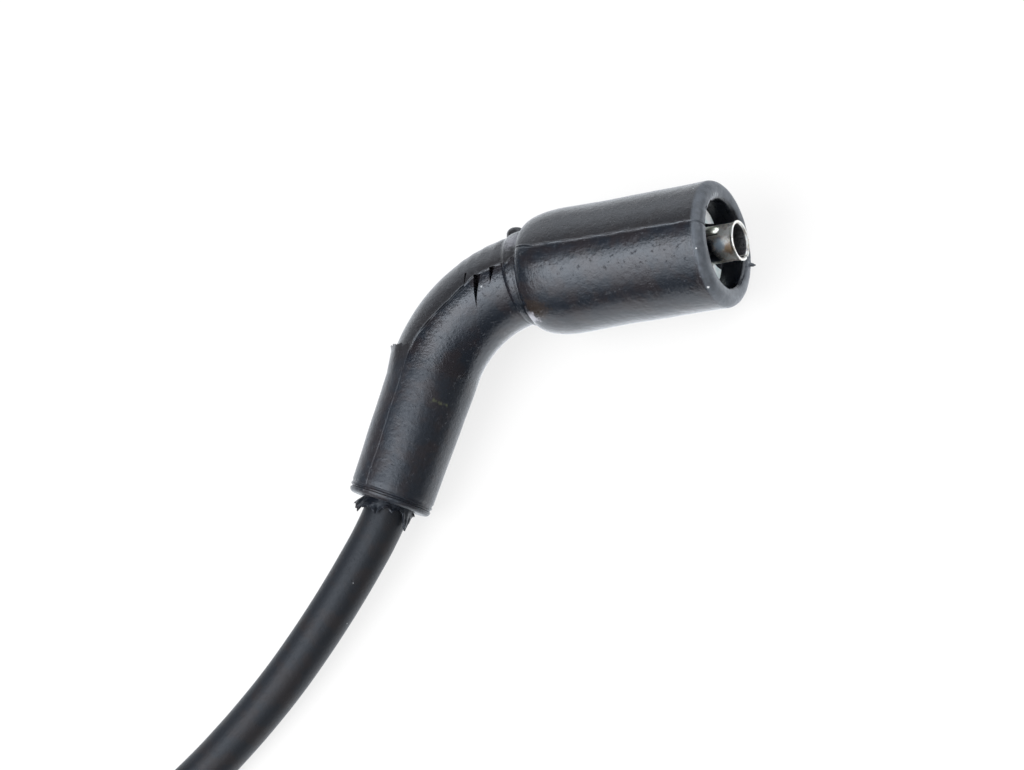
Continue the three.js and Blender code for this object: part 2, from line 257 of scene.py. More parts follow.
def arc(centre_x, centre_r, size, start, end, steps=6):
    """Points of a round edge, between two directions in degrees, measured from the radius."""
    turns = [math.radians(start + (end - start) * i / steps) for i in range(steps + 1)]
    return [(centre_x + size * math.sin(turn), centre_r + size * math.cos(turn)) for turn in turns]


# %% [markdown]
# How the coil boot lies. Its own frame starts at the cable's exit: the sleeve runs along X, the elbow
# bends towards minus Y round its own centre, and the barrel goes straight on. Modelling the boot
# straight and then bending it in code keeps its rings square to its path all the way.

# %% Coil boot frame
sleeve_length = 25.8
elbow_bend = math.radians(67)
elbow_bend_radius = 23.35
elbow_length = elbow_bend_radius * elbow_bend
barrel_start = sleeve_length + elbow_length
barrel_reach = 37.6
mouth_place = barrel_start + barrel_reach
coil_boot_exit = Vector((0.06083, 0.01421, 0.00774))
coil_boot_roll = math.radians(5.6)
coil_boot_place = (
    Matrix.Translation(coil_boot_exit)
    @ Matrix.Rotation(coil_boot_roll, 4, "X")
    @ Matrix.Rotation(elbow_bend, 4, "Z")
)


def bent(along, outward, up):
    """A point of the straight boot, in millimetres, taken to its place on the bent boot."""
    if along <= sleeve_length:
        return Vector((along, outward, up))
    turn = min((along - sleeve_length) / elbow_bend_radius, elbow_bend)
    beyond = max(along - barrel_start, 0)
    reach = elbow_bend_radius + outward
    x = sleeve_length + reach * math.sin(turn) + beyond * math.cos(turn)
    y = reach * math.cos(turn) - elbow_bend_radius - beyond * math.sin(turn)
    return Vector((x, y, up))


def straight(point):
    """The other way: how far along the path a point of the bent boot lies, outward and up."""
    if point.x <= sleeve_length:
        return point.x, point.y, point.z
    turn = math.atan2(point.x - sleeve_length, point.y + elbow_bend_radius)
    if turn <= elbow_bend:
        reach = math.hypot(point.x - sleeve_length, point.y + elbow_bend_radius)
        return sleeve_length + elbow_bend_radius * turn, reach - elbow_bend_radius, point.z
    start = bent(barrel_start, 0, 0)
    ahead = Vector((math.cos(elbow_bend), -math.sin(elbow_bend), 0))
    aside = Vector((math.sin(elbow_bend), math.cos(elbow_bend), 0))
    return barrel_start + (point - start).dot(ahead), (point - start).dot(aside), point.z


def bend(piece):
    """Bends a piece that was modelled straight, along the boot's path."""
    for vertex in piece.data.vertices:
        vertex.co = bent(*(vertex.co / MM)) * MM
    piece.data.update()


print("coil boot: elbow", round(elbow_length, 2), "mm, mouth at", round(mouth_place, 2), "mm along its path")

# %% [markdown]
# The coil boot is one moulding, so it is one closed shell: up the sleeve, round the elbow, over the
# collar and shoulder, along the barrel, over the rim and back through the socket and the passage.
# A boolean of simple solids would leave hard joints where the real rubber flows, so the whole wall is
# one outline spun on the lathe, and its local forms are pushed into the rings afterwards. The lists of
# pairs below are measured steps: a place along the path, and a radius or a rise there.

# %% Coil boot outline
sleeve_end_radius = 7.65
sleeve_top_radius = 8.15
sleeve_fade = 3
elbow_radius = 8.15
collar_radius = 8.7
shoulder_foot = 9.2
shoulder_length = 7.6
shoulder_steps = 12
barrel_back_radius = 11.42
barrel_waist_radius = 11.26
barrel_mouth_radius = 11.42
rim_round = 1.9
rim_setback = 0.7
socket_radius = 7.95
socket_depth = 4.8
throat_radius = 4.3
throat_depth = 20
chamber_radius = 5.13
chamber_start = 5.7
passage_radius = 4.4
socket_floor = mouth_place - socket_depth

sleeve_grooves = [
    (0.85, -0.02), (1.05, -0.26), (1.25, -0.24), (1.45, 0.04),
    (1.7, 0.02), (1.85, -0.12), (2.1, -0.1), (2.4, 0.03),
]
collar_course = [
    (-5, elbow_radius), (-3.6, elbow_radius), (-3.25, elbow_radius - 0.04), (-2.9, elbow_radius + 0.2),
    (-2.5, collar_radius - 0.08), (-1.9, collar_radius), (-1.1, collar_radius), (-0.65, collar_radius - 0.14),
    (-0.35, collar_radius - 0.1), (0, collar_radius + 0.3),
]
barrel_course = [
    (shoulder_length, barrel_back_radius), (9.5, 11.37), (12.5, 11.3), (17, barrel_waist_radius), (21, 11.31),
    (29, 11.33), (32.5, 11.36), (barrel_reach - rim_round, barrel_mouth_radius),
]
rim_inner_course = [(0.04, 0.75), (0.2, 0.4), (0.45, 0.12), (rim_setback, 0)]

shoulder = []
for step in range(shoulder_steps + 1):
    turn = math.pi / 2 * step / shoulder_steps
    rise = (barrel_back_radius - shoulder_foot) * math.sin(turn)
    shoulder.append((barrel_start + shoulder_length * (1 - math.cos(turn)), shoulder_foot + rise))
barrel_side = [(barrel_start + place, radius) for place, radius in flowing(barrel_course, 4)]
outside = (
    [(0.12, passage_radius + 0.6), (0, passage_radius + 0.9)]
    + arc(0.8, sleeve_end_radius - 0.84, 0.8, -90, 0)
    + [(place, sleeve_end_radius + rise) for place, rise in sleeve_grooves]
    + [(sleeve_length - sleeve_fade, sleeve_top_radius), (sleeve_length + sleeve_fade, elbow_radius)]
    + [(barrel_start + place, radius) for place, radius in flowing(collar_course, 4)]
    + shoulder
    + barrel_side[1:-1]
    + arc(mouth_place - rim_round, barrel_mouth_radius - rim_round, rim_round, 0, 90, 10)
)
inside = (
    [(mouth_place - depth, socket_radius + rise) for depth, rise in rim_inner_course]
    + [(socket_floor + 0.35, socket_radius), (socket_floor + 0.1, socket_radius - 0.1)]
    + [(socket_floor, socket_radius - 0.35), (socket_floor, throat_radius + 0.3)]
    + [(socket_floor - 0.3, throat_radius)]
    + [(mouth_place - throat_depth, throat_radius), (mouth_place - throat_depth - 0.8, chamber_radius)]
    + [(barrel_start + chamber_start, chamber_radius), (barrel_start + chamber_start, passage_radius)]
    + [(0.3, passage_radius)]
)
boot_outline = spaced(outside + inside, 0.55)
coil_boot = lathe("coil_boot_moulding", boot_outline, steps=160, closed=True)
print("coil boot outline has", len(boot_outline), "points")

# %% [markdown]
# A two-part mould leaves its marks: a parting line with a fin of flash and a crease beside it, halves
# that don't quite meet, and soft ribs. They are small moves of the rings' own points. The rings have
# equal steps, so the steps are first drawn together at the parting line, where a fin is only two
# tenths of a millimetre wide. Part of the rim's inner edge is torn, which a noise does to its points.

# %% Mould marks
parting_course = [
    (0, 9.5), (26.4, 11.5), (29.5, 11.7), (32, 7.6), (35.8, 2.9), (38.5, 2), (42.3, 4.4), (43.7, 6.8),
    (49.7, 7.8), (51.3, 4.8), (53.4, 17), (57.3, 10.7), (71.3, 8.5), (mouth_place, 6.2),
]
fin_course = [
    (0, 0.01), (25, 0.015), (29, 0.12), (32, 0.2), (40, 0.24), (43, 0.1), (51, 0.05), (54, 0.1),
    (60, 0.11), (74, 0.1), (mouth_place, 0.05),
]
fin_width = 0.13
crease_width = 0.12
half_mismatch = 0.04
rib_places = [-4.9, -7.3, -9.4, -11.4]
rib_width = 1.5
rib_height = 0.09
crowding = 0.435
torn_edge_radius = 9.1
torn_edge_span = (4, 72)
outer_skin_radius = 6.2


def smooth(value):
    value = min(max(value, 0), 1)
    return value * value * (3 - 2 * value)


def follow(course, along):
    """The value of a course of (place, value) at a place."""
    for (x0, v0), (x1, v1) in zip(course, course[1:]):
        if along <= x1:
            return v0 + (v1 - v0) * (along - x0) / (x1 - x0)
    return course[-1][1]


def parting_angle(along):
    """The parting line's angle from the top, towards the outside of the bend, in radians."""
    wander = 0.8 * ripple(along * 0.45, 5.5, 0)
    return math.radians(follow(parting_course, along) + wander)


def crowd(turn):
    """Draws equal steps of a turn together at 0 and at half a turn."""
    return turn - crowding * math.sin(2 * turn)


def bell(offset, width):
    return math.exp(-(offset / width) ** 2)


def mould_marks(along, radius, turn):
    """The radius with fin, crease, mismatch and ribs, at a turn from the parting line."""
    side = math.sin(turn)
    offset = side * radius
    ragged = ripple(along * 0.9, 3.1, 0) + 0.5 * ripple(along * 3.7, 0, 7.7)
    fin = follow(fin_course, along) * max(0.15, 0.7 + ragged) * (1 if math.cos(turn) > 0 else 0.3)
    waves = ripple(along * 0.16, math.cos(turn) * 0.9, side * 0.9)
    bumps = ripple(along * 0.55, math.cos(turn) * 3.5, side * 3.5)
    ribs = 0
    if 0 < side and barrel_start - 13 < along < barrel_start - 3:
        fade = smooth(side * 3) * smooth((1.05 - side) * 3)
        ribs = sum(bell(along - barrel_start - place - side, rib_width / 3) for place in rib_places) * fade
    radius += fin * (bell(offset - 0.08, fin_width) - 0.8 * bell(offset + 0.2, crease_width))
    radius += half_mismatch * smooth(offset / 0.2 + 0.5) + rib_height * ribs
    return radius + 0.06 * waves + 0.018 * bumps


for vertex in coil_boot.data.vertices:
    along, outward, up = vertex.co / MM
    radius = math.hypot(outward, up)
    turn = crowd(math.atan2(outward, up))
    in_socket = along > socket_floor - 0.2 and radius < socket_radius + 0.2
    is_outside = radius > outer_skin_radius and not in_socket
    new_radius = mould_marks(along, radius, turn) if is_outside else radius
    on_rim = smooth((along - mouth_place + rim_round) / 0.8) if radius > socket_radius + 0.1 else 0
    dent = bell(math.sin(turn) * radius + 0.1, 0.14) * max(math.cos(turn), 0)
    along -= on_rim * (0.28 * dent + 0.05 * ripple(outward, up, 4.4))
    turn += parting_angle(along)
    if along > mouth_place - 1.2 and socket_radius - 0.1 < radius < torn_edge_radius:
        first, last = torn_edge_span
        torn = smooth((math.degrees(turn) - first) / 8) * smooth((last - math.degrees(turn)) / 10)
        torn *= smooth((torn_edge_radius - radius) / 0.7)
        chip = ripple(radius * 1.6, turn * 14, 6.6)
        new_radius += (0.25 + chip) * torn
        along += 0.5 * chip * torn
    vertex.co = on_ring(along, new_radius, turn) * MM
bend(coil_boot)
print("flash follows", len(parting_course), "measured places of the parting line")

# %% [markdown]
# Next to the barrel the elbow has three saw-tooth pockets, which let it flex. Each is deep at its
# upright side and rises to nothing at the slanted one. A wedge with a sloped floor cuts such a
# pocket cleanly, which the rings' own points are too far apart to do. Each notch is given by its place
# behind the barrel, its top's place across, its length, its width and its depth.

# %% Flex notches
flex_notches = [
    (-5.7, 0.6, 3.1, 1.2, 0.95),
    (-8.95, -0.35, 5.9, 1.5, 1.1),
    (-10.9, 0.4, 2.9, 0.45, 0.4),
]


def elbow_surface(x, y):
    """Height of the elbow's surface over a point of the barrel's own plane."""
    from_axis = math.hypot(x, y + elbow_bend_radius) - elbow_bend_radius
    return math.sqrt(max(elbow_radius ** 2 - from_axis ** 2, 0))


def notch_cutter(place, top, length, width, depth, upside):
    """A three-sided wedge, deep along its upright side."""
    corners = [(place, top), (place, top - length), (place + width, top)]
    floors = [depth, depth * 0.45, depth * 0.15]
    cutter = start_piece(bpy.ops.mesh.primitive_cylinder_add, vertices=3, radius=MM, depth=MM)
    wedge = bmesh.from_edit_mesh(cutter.data)
    low = [vertex for vertex in wedge.verts if vertex.co.z < 0]
    high = [vertex for vertex in wedge.verts if vertex.co.z > 0]
    turned = Matrix.Rotation(-elbow_bend, 4, "Z")
    start = bent(barrel_start, 0, 0)
    for corner, floor, below, above in zip(corners, floors, low, high):
        surface = elbow_surface(*corner)
        base = turned @ Vector((corner[0], corner[1], 0)) + start
        below.co = Vector((base.x, base.y, upside * (surface - floor))) * MM
        above.co = Vector((base.x, base.y, upside * (surface + 2))) * MM
    bmesh.update_edit_mesh(cutter.data)
    close_piece()
    return cutter


cut(coil_boot, joined([notch_cutter(*notch, upside) for notch in flex_notches for upside in (1, -1)]))
print("cut", 2 * len(flex_notches), "flex notches")

# %% [markdown]
# The rubber was shot into the mould beside the collar, and the runner was torn off there, which
# leaves a round nub. A short cylinder with its top edge bevelled is joined on.

# %% Gate nub
gate_radius = 1.75
gate_height = 2.1
gate_place = -4.3
gate_depth = 4
gate_bevel = 1.3

barrel_turn = Matrix.Translation(bent(barrel_start, 0, 0) * MM) @ Matrix.Rotation(-elbow_bend, 4, "Z")
gate_surface = math.sqrt((elbow_bend_radius + elbow_radius) ** 2 - gate_place ** 2) - elbow_bend_radius
gate = start_piece(
    bpy.ops.mesh.primitive_cylinder_add,
    vertices=40, radius=gate_radius * MM, depth=gate_depth * MM, rotation=(-math.pi / 2, 0, 0),
    location=(gate_place * MM, (gate_surface + gate_height - gate_depth / 2) * MM, 0),
)
shape = bmesh.from_edit_mesh(gate.data)
for edge in shape.edges:
    edge.select_set(all(vertex.co.z > 0 for vertex in edge.verts))
bmesh.update_edit_mesh(gate.data)
bpy.ops.mesh.bevel(offset=gate_bevel * MM, segments=8)
settle()
gate.data.transform(barrel_turn)
print("gate nub stands", gate_height, "mm proud of the elbow")

# %% [markdown]
# Over the start of the elbow the outer mould half ends in a flared lip with a torn edge. It is a
# short cone on the lathe, cut in half along the parting plane and slanted at its end by two bisects,
# which also close the cuts. A noise then tears its edge, and it fades into the sleeve at its two sides.

# %% Sleeve lip
lip_radius = 8.85
lip_end = sleeve_length + 1.3
lip_length = 5.6
lip_inner_radius = 6.5
lip_slant = math.radians(10)
lip_parting = math.radians(10.5)

lip_outline = [
    (lip_end - lip_length, lip_inner_radius), (lip_end - lip_length, sleeve_top_radius - 0.1),
    (lip_end, lip_radius), (lip_end + 2, lip_radius), (lip_end + 2, lip_inner_radius),
]
lip = lathe("sleeve_lip", spaced(lip_outline, 0.3), steps=160, closed=True)
edit_all()
bpy.ops.mesh.bisect(
    plane_co=(0, 0, 0), plane_no=(0, math.cos(lip_parting), -math.sin(lip_parting)),
    use_fill=True, clear_inner=True,
)
bpy.ops.mesh.select_all(action="SELECT")
bpy.ops.mesh.bisect(
    plane_co=(lip_end * MM, lip_radius * MM, 0), plane_no=(math.cos(lip_slant), math.sin(lip_slant), 0),
    use_fill=True, clear_outer=True,
)
bpy.ops.object.mode_set(mode="OBJECT")
for vertex in lip.data.vertices:
    along, outward, up = vertex.co / MM
    radius = math.hypot(outward, up)
    edge = smooth(along - lip_end + 1 + (outward - lip_radius) * math.tan(lip_slant))
    torn = ripple(outward * 1.4, up * 1.4, 2.2)
    torn += 0.6 * ripple(outward * 5, up * 5, 9)
    angle = math.atan2(outward, up)
    tip = bell(angle - math.radians(66), 0.13)
    if radius > 8:
        vertex.co.x += (0.3 * torn + 0.25 * tip) * edge * MM
        to_far_end = math.pi + lip_parting - angle % (2 * math.pi)
        flat = smooth((angle - lip_parting) / 0.5) * smooth(to_far_end / 0.5)
        sunk = 1 + (min(sleeve_top_radius + 0.03, radius) / radius - 1) * (1 - flat)
        vertex.co.yz *= sunk + (0.018 * torn + 0.045 * tip) * edge * flat
print("lip flares to", lip_radius, "mm round the axis")

# %% [markdown]
# Where the cable comes out, the mould leaked, and a torn skirt of thin flash hangs round the cable. A
# nub of the same flash stands at the bottom of the rim. The skirt is a thin tube on the lathe, pulled
# to a ragged length and crumpled by a noise. Gate, lip, skirt and nub are then joined on at once.

# %% Flash at the cable's exit and on the rim
skirt_radius = 4.75
skirt_thickness = 0.3
skirt_lengths = [
    (-180, 0.5), (-110, 0.7), (-92, 3.3), (-80, 3.1), (-70, 1.0), (-55, 0.6), (-42, 1.6), (-30, 0.7),
    (-18, 1.6), (-8, 2.5), (2, 1.9), (14, 1.5), (24, 2.7), (36, 2.2), (50, 1.6), (75, 1.8),
    (110, 0.8), (180, 0.5),
]
skirt_flares = [
    (-180, 0), (-92, 0.3), (-70, 0.1), (-30, 0.1), (-8, 0.35), (10, 0.7), (26, 1.1), (60, 1.2),
    (100, 0.6), (180, 0),
]
nub_radius = 0.7
nub_place = Vector((barrel_reach + 0.1, -1.4, -9.9))

skirt_inner = skirt_radius - skirt_thickness
skirt_outline = [(0.3, skirt_radius), (-1, skirt_radius), (-1, skirt_inner), (0.3, skirt_inner)]
skirt = lathe("exit_flash", spaced(skirt_outline, 0.14), steps=150, closed=True)
for vertex in skirt.data.vertices:
    along, outward, up = vertex.co / MM
    angle = math.degrees(math.atan2(outward, up))
    reach = max(-along, 0)
    crumple = ripple(outward * 1.5, up * 1.5, reach * 1.6)
    ragged = 1 + 0.35 * ripple(outward * 2.6, up * 2.6, 1.7)
    spread = 1 + (follow(skirt_flares, angle) + 0.45 * crumple + 0.1) * reach / skirt_radius
    vertex.co.x = (along if along > 0 else -reach * follow(skirt_lengths, angle) * ragged) * MM
    vertex.co.yz *= spread

nub = start_piece(
    bpy.ops.mesh.primitive_ico_sphere_add, subdivisions=3, radius=nub_radius * MM,
    location=nub_place * MM, scale=(1.2, 0.45, 0.6), rotation=(0, 0.3, -0.2),
)
settle()
for vertex in nub.data.vertices:
    vertex.co += vertex.normal * (0.12 * MM * ripple(*(vertex.co / MM * 1.9)))
nub.data.transform(barrel_turn)
cut(coil_boot, joined([gate, lip, skirt, nub]), operation="UNION")
print("exit flash is up to", max(length for _, length in skirt_lengths), "mm long")

# %% [markdown]
# Two numbers go with every point of the boot: how far along the path it lies, and on which side of
# the parting line. The materials read them, so tool marks run round the barrel and each mould half
# has its own finish, and nothing slides when the camera moves.

# %% Surface attributes
def mark_surface(piece, measure):
    """Writes the attributes along, in millimetres, and side, from -1 to 1, at every point."""
    for name in ("along", "side"):
        piece.data.attributes.new(name, "FLOAT", "POINT")
    along_values = piece.data.attributes["along"].data
    side_values = piece.data.attributes["side"].data
    for vertex, along_value, side_value in zip(piece.data.vertices, along_values, side_values):
        along_value.value, side_value.value = measure(vertex.co / MM)


def on_coil_boot(point):
    along, outward, up = straight(point)
    return along, math.sin(math.atan2(outward, up) - parting_angle(along))


def on_plug_boot(point):
    return point.x, point.z / max(math.hypot(point.y, point.z), 1)


mark_surface(coil_boot, on_coil_boot)
coil_boot.data.transform(coil_boot_place)
finish_piece(coil_boot, nodes=("coil_boot",), smooth_angle=32)

# %% [markdown]
# Two pale patches lie on the socket's floor beside the terminal. Each patch is a flat outline, drawn
# as a filled circle whose points are moved to their places, and then extruded by a tenth of a
# millimetre.

# %% Pale patches on the socket's floor
pale_patch_place = 0.12523
pale_patch_thickness = 0.12
pale_patch_outlines = [
    [(56.6, 11.7), (57.2, 9.6), (58.2, 7.1), (59.2, 8.6), (59.7, 10.5),
     (59.7, 12.5), (59.1, 14.8), (57.6, 16.8), (55.4, 15.4), (56.3, 13.6)],
    [(50.7, 7.0), (50.4, 5.6), (50.5, 3.9), (49.0, 4.3), (47.3, 5.3),
     (45.6, 7.1), (44.6, 9.4), (47.2, 9.9), (48.6, 8.4), (49.4, 7.6)],
]
pale_patch_pieces = []
for outline in pale_patch_outlines:
    patch = start_piece(
        bpy.ops.mesh.primitive_circle_add, vertices=len(outline), radius=MM, fill_type="NGON",
    )
    shape = bmesh.from_edit_mesh(patch.data)
    shape.verts.ensure_lookup_table()
    for vertex, (y, z) in zip(shape.verts, outline):
        vertex.co = (pale_patch_place, y * MM, z * MM)
    bmesh.update_edit_mesh(patch.data)
    bpy.ops.mesh.extrude_region_move(TRANSFORM_OT_translate={"value": (pale_patch_thickness * MM, 0, 0)})
    close_piece()
    pale_patch_pieces.append(patch)
socket_pale_patches = joined(pale_patch_pieces)
socket_pale_patches.name = "socket_floor_patches"
finish_piece(socket_pale_patches)

# %% [markdown]
# The coil terminal is rolled from sheet steel: a crimp round the cable, a neck, and a tube that
# ends in a small flare. A tube from a primitive would have no seam, so its outline is spun not quite
# all the way round, and the open sheet then gets its thickness. Two pressed bumps beside a short slit
# lock the tube in its tower.

# %% Coil terminal
sheet_thickness = 0.43
crimp_radius = 4.83
crimp_start = 6
crimp_end = 17
neck_end = 20
tube_radius = 3.38
tube_proud = 2.7
tube_end = barrel_reach + tube_proud
flare_radius = 3.62
flare_length = 1.4
seam_gap = math.radians(7)
seam_angle = math.radians(130)
lock_angle = math.radians(30)
lock_setback = 4.6
lock_reach = 0.95
lock_stretch = 1.8
lock_height = 0.62
slit_angle = math.radians(-14)
slit_length = 3.8
slit_width = 0.35

terminal_outline = [
    (crimp_start, crimp_radius), (crimp_end, crimp_radius), (neck_end, tube_radius),
    (tube_end - flare_length, tube_radius), (tube_end - 0.55, tube_radius + 0.06),
    (tube_end - 0.3, flare_radius - 0.03), (tube_end - 0.12, flare_radius), (tube_end, flare_radius - 0.02),
]
terminal = lathe(
    "coil_terminal_tube", spaced(terminal_outline, 0.25), steps=144,
    angle=2 * math.pi - seam_gap, start=-(seam_angle + seam_gap / 2),
)


def thicken(piece):
    """Gives an open sheet its thickness, inwards."""
    apply_modifier(piece, "SOLIDIFY", thickness=sheet_thickness * MM, offset=-1, use_even_offset=True)


def break_edges(piece, width):
    """Bevels the sheet's sharp edges."""
    sharp = math.radians(50)
    apply_modifier(piece, "BEVEL", width=width * MM, segments=2, limit_method="ANGLE", angle_limit=sharp)


def push_lock(piece, angle):
    """Presses a long lock bump out of the tube's wall."""
    centre = on_ring(tube_end - lock_setback, tube_radius, angle)
    outward = on_ring(0, 1, angle)
    for vertex in piece.data.vertices:
        offset = vertex.co / MM - centre
        offset.x /= lock_stretch
        distance = offset.length / lock_reach
        if distance < 1:
            vertex.co += outward * (lock_height * MM * math.sqrt(1 - distance ** 2))


push_lock(terminal, lock_angle)
push_lock(terminal, lock_angle + math.pi)
thicken(terminal)
break_edges(terminal, 0.07)
slit = start_piece(bpy.ops.mesh.primitive_cube_add, size=MM)
bpy.ops.transform.resize(value=(slit_length, slit_width, 3))
bpy.ops.transform.translate(value=((tube_end - lock_setback - 0.3) * MM, 0, tube_radius * MM))
bpy.ops.transform.rotate(value=-slit_angle, orient_axis="X", center_override=(0, 0, 0))
settle()
cut(terminal, slit)
terminal.data.transform(Matrix.Translation((barrel_start * MM, 0, 0)))
bend(terminal)
terminal.data.transform(coil_boot_place)
finish_piece(terminal, nodes=("coil_terminal",), smooth_angle=38)

# %% [markdown]
# The plug boot at the far end is plain and straight: a tail round the cable, a grip ring, a body
# and a ring at the mouth. It is a lathe piece too, with its bore in the same outline.

# %% Plug boot
plug_boot_entry = Vector((-0.0545, -0.0544, 0.0095))
plug_boot_place = Matrix.Translation(plug_boot_entry) @ Matrix.Rotation(math.pi, 4, "Z")
plug_boot_length = 78
tail_end_radius = 7.2
tail_top_radius = 7.9
tail_length = 19
plug_body_radius = 8.7
ring_radius = 9.5
grip_ring_width = 5
mouth_ring_width = 6
plug_bore_radius = 5.8
plug_bore_depth = 26
plug_chamber_start = 27.7


def ring_section(start, end):
    """A ring with round corners, standing on the boot's body."""
    return (
        [(start - 0.5, plug_body_radius - 0.5), (start, ring_radius - 0.9)]
        + arc(start + 0.8, ring_radius - 0.8, 0.8, -80, 0, 4)
        + arc(end - 0.8, ring_radius - 0.8, 0.8, 0, 80, 4)
    )


plug_outline = (
    [(0.12, passage_radius + 0.6), (0, passage_radius + 0.9)]
    + arc(0.8, tail_end_radius - 0.8, 0.8, -90, 0)
    + [(tail_length - 0.8, tail_top_radius)]
    + ring_section(tail_length, tail_length + grip_ring_width)
    + [(tail_length + grip_ring_width + 0.3, plug_body_radius)]
    + [(plug_boot_length - mouth_ring_width - 0.6, plug_body_radius)]
    + ring_section(plug_boot_length - mouth_ring_width, plug_boot_length)[1:]
    + [(plug_boot_length, ring_radius - 1.1), (plug_boot_length, plug_bore_radius + 0.5)]
    + [(plug_boot_length - 0.5, plug_bore_radius), (plug_boot_length - plug_bore_depth, plug_bore_radius)]
    + [(plug_boot_length - plug_bore_depth, chamber_radius), (plug_chamber_start, chamber_radius)]
    + [(plug_chamber_start, passage_radius), (0.3, passage_radius)]
)
plug_boot = lathe("plug_boot_moulding", spaced(plug_outline, 0.7), steps=96, closed=True)
for vertex in plug_boot.data.vertices:
    along, outward, up = vertex.co / MM
    radius = math.hypot(outward, up)
    turn = crowd(math.atan2(outward, up))
    if radius > 6.6:
        ragged = ripple(along * 2.1, 11.3, 0)
        fin = 0.09 * max(0.2, 0.5 + ragged) * bell(math.sin(turn) * radius, 0.08)
        radius = min(radius + fin, ring_radius)
    vertex.co = on_ring(along, radius, turn + math.pi / 2) * MM
mark_surface(plug_boot, on_plug_boot)
plug_boot.data.transform(plug_boot_place)
finish_piece(plug_boot, nodes=("plug_boot",), smooth_angle=32)

# %% [markdown]
# Inside it sits the push-fit terminal: a crimp, a neck and a slotted socket with a round wire ring
# that grips the plug's nut. The socket is spun open like the other terminal, and thin blocks cut the
# slots. The wire ring is a small circle spun round the axis, short of a whole turn.

# %% Plug terminal and its spring
plug_crimp_start = 28
plug_crimp_end = 39
plug_neck_end = 42
plug_socket_radius = 3.63
plug_socket_end = 54.5
plug_slot_width = 1
plug_slot_length = 8
spring_wire = 0.8
spring_place = plug_socket_end - 4
spring_radius = 4.23
spring_gap = math.radians(44)

plug_terminal_outline = [
    (plug_crimp_start, crimp_radius), (plug_crimp_end, crimp_radius), (plug_neck_end, plug_socket_radius),
    (plug_socket_end, plug_socket_radius),
]
plug_terminal = lathe(
    "plug_terminal_socket", spaced(plug_terminal_outline, 0.7), steps=96,
    angle=2 * math.pi - seam_gap, start=seam_gap / 2,
)
thicken(plug_terminal)
for slot_angle in (math.radians(120), math.radians(240)):
    slot_cutter = start_piece(
        bpy.ops.mesh.primitive_cube_add, size=MM,
        location=((plug_socket_end - plug_slot_length / 2 + 1) * MM, 0, 0),
    )
    slot_size = (plug_slot_length, plug_slot_width, 4)
    bpy.ops.transform.resize(value=slot_size, center_override=slot_cutter.location)
    bpy.ops.transform.translate(value=(0, 0, 4 * MM))
    settle()
    slot_cutter.data.transform(Matrix.Rotation(slot_angle, 4, "X"))
    cut(plug_terminal, slot_cutter)
break_edges(plug_terminal, 0.06)
plug_terminal.data.transform(plug_boot_place)
finish_piece(plug_terminal, nodes=("plug_terminal",), smooth_angle=38)

spring = start_piece(
    bpy.ops.mesh.primitive_circle_add,
    vertices=20, radius=spring_wire / 2 * MM, fill_type="NGON",
    location=(spring_place * MM, 0, spring_radius * MM), rotation=(math.pi / 2, 0, 0),
)
settle()
edit_all()
bpy.ops.transform.rotate(value=spring_gap / 2, orient_axis="X", center_override=(0, 0, 0))
bpy.ops.mesh.spin(steps=72, angle=2 * math.pi - spring_gap, center=(0, 0, 0), axis=(1, 0, 0))
bpy.ops.mesh.select_all(action="SELECT")
bpy.ops.mesh.remove_doubles(threshold=weld_distance)
close_piece()
spring.name = "plug_terminal_ring"
spring.data.transform(plug_boot_place)
finish_piece(spring, nodes=("plug_terminal_spring",), smooth_angle=38)

# %% [markdown]
# Shared effects are node groups, built once. A few helpers make nodes and wire them in one go, so that
# a material reads as a list of steps.

# %% Node helpers
FLOAT = "NodeSocketFloat"
VECTOR = "NodeSocketVector"


def new_node(tree, kind, inputs=None, **settings):
    """Adds a node. Its inputs, by number or name, are plain values or other nodes' outputs."""
    made = tree.nodes.new(kind)
    for name, value in settings.items():
        setattr(made, name, value)
    for key, value in (inputs or {}).items():
        give(tree, made.inputs[key], value)
    return made


def give(tree, socket, value):
    if isinstance(value, bpy.types.NodeSocket):
        tree.links.new(value, socket)
    elif socket.type == "RGBA":
        socket.default_value = (*value, 1)
    else:
        socket.default_value = value


def maths(tree, operation, *values):
    return new_node(tree, "ShaderNodeMath", dict(enumerate(values)), operation=operation).outputs[0]


def product(tree, first, *others):
    for value in others:
        first = maths(tree, "MULTIPLY", first, value)
    return first


def vectors(tree, operation, first, second):
    """Adds a vector math node. A distance and a dot product are values, the rest are vectors."""
    made = new_node(tree, "ShaderNodeVectorMath", {0: first, 1: second}, operation=operation)
    return made.outputs["Value" if operation in ("DISTANCE", "DOT_PRODUCT") else "Vector"]


def ramp(tree, value, low, high, low_out=0.0, high_out=1.0):
    """Adds a smooth step of a value between two limits."""
    inputs = dict(enumerate((value, low, high, low_out, high_out)))
    return new_node(tree, "ShaderNodeMapRange", inputs, interpolation_type="SMOOTHSTEP").outputs[0]


def blend_colour(tree, share, first, second):
    return new_node(tree, "ShaderNodeMix", {0: share, 6: first, 7: second}, data_type="RGBA").outputs[2]


def noise_at(tree, place, scale, detail=2.0, roughness=0.5):
    inputs = {"Vector": place, "Scale": scale, "Detail": detail, "Roughness": roughness}
    return new_node(tree, "ShaderNodeTexNoise", inputs).outputs["Fac"]


def new_group(name, inputs, outputs):
    """Starts a node group with named inputs, each with a default, and named outputs."""
    group = bpy.data.node_groups.new(name, "ShaderNodeTree")
    for socket, kind, default in inputs:
        group.interface.new_socket(socket, in_out="INPUT", socket_type=kind).default_value = default
    for socket, kind in outputs:
        group.interface.new_socket(socket, in_out="OUTPUT", socket_type=kind)
    return group, group.nodes.new("NodeGroupInput").outputs, group.nodes.new("NodeGroupOutput").inputs


print("node helpers are ready")

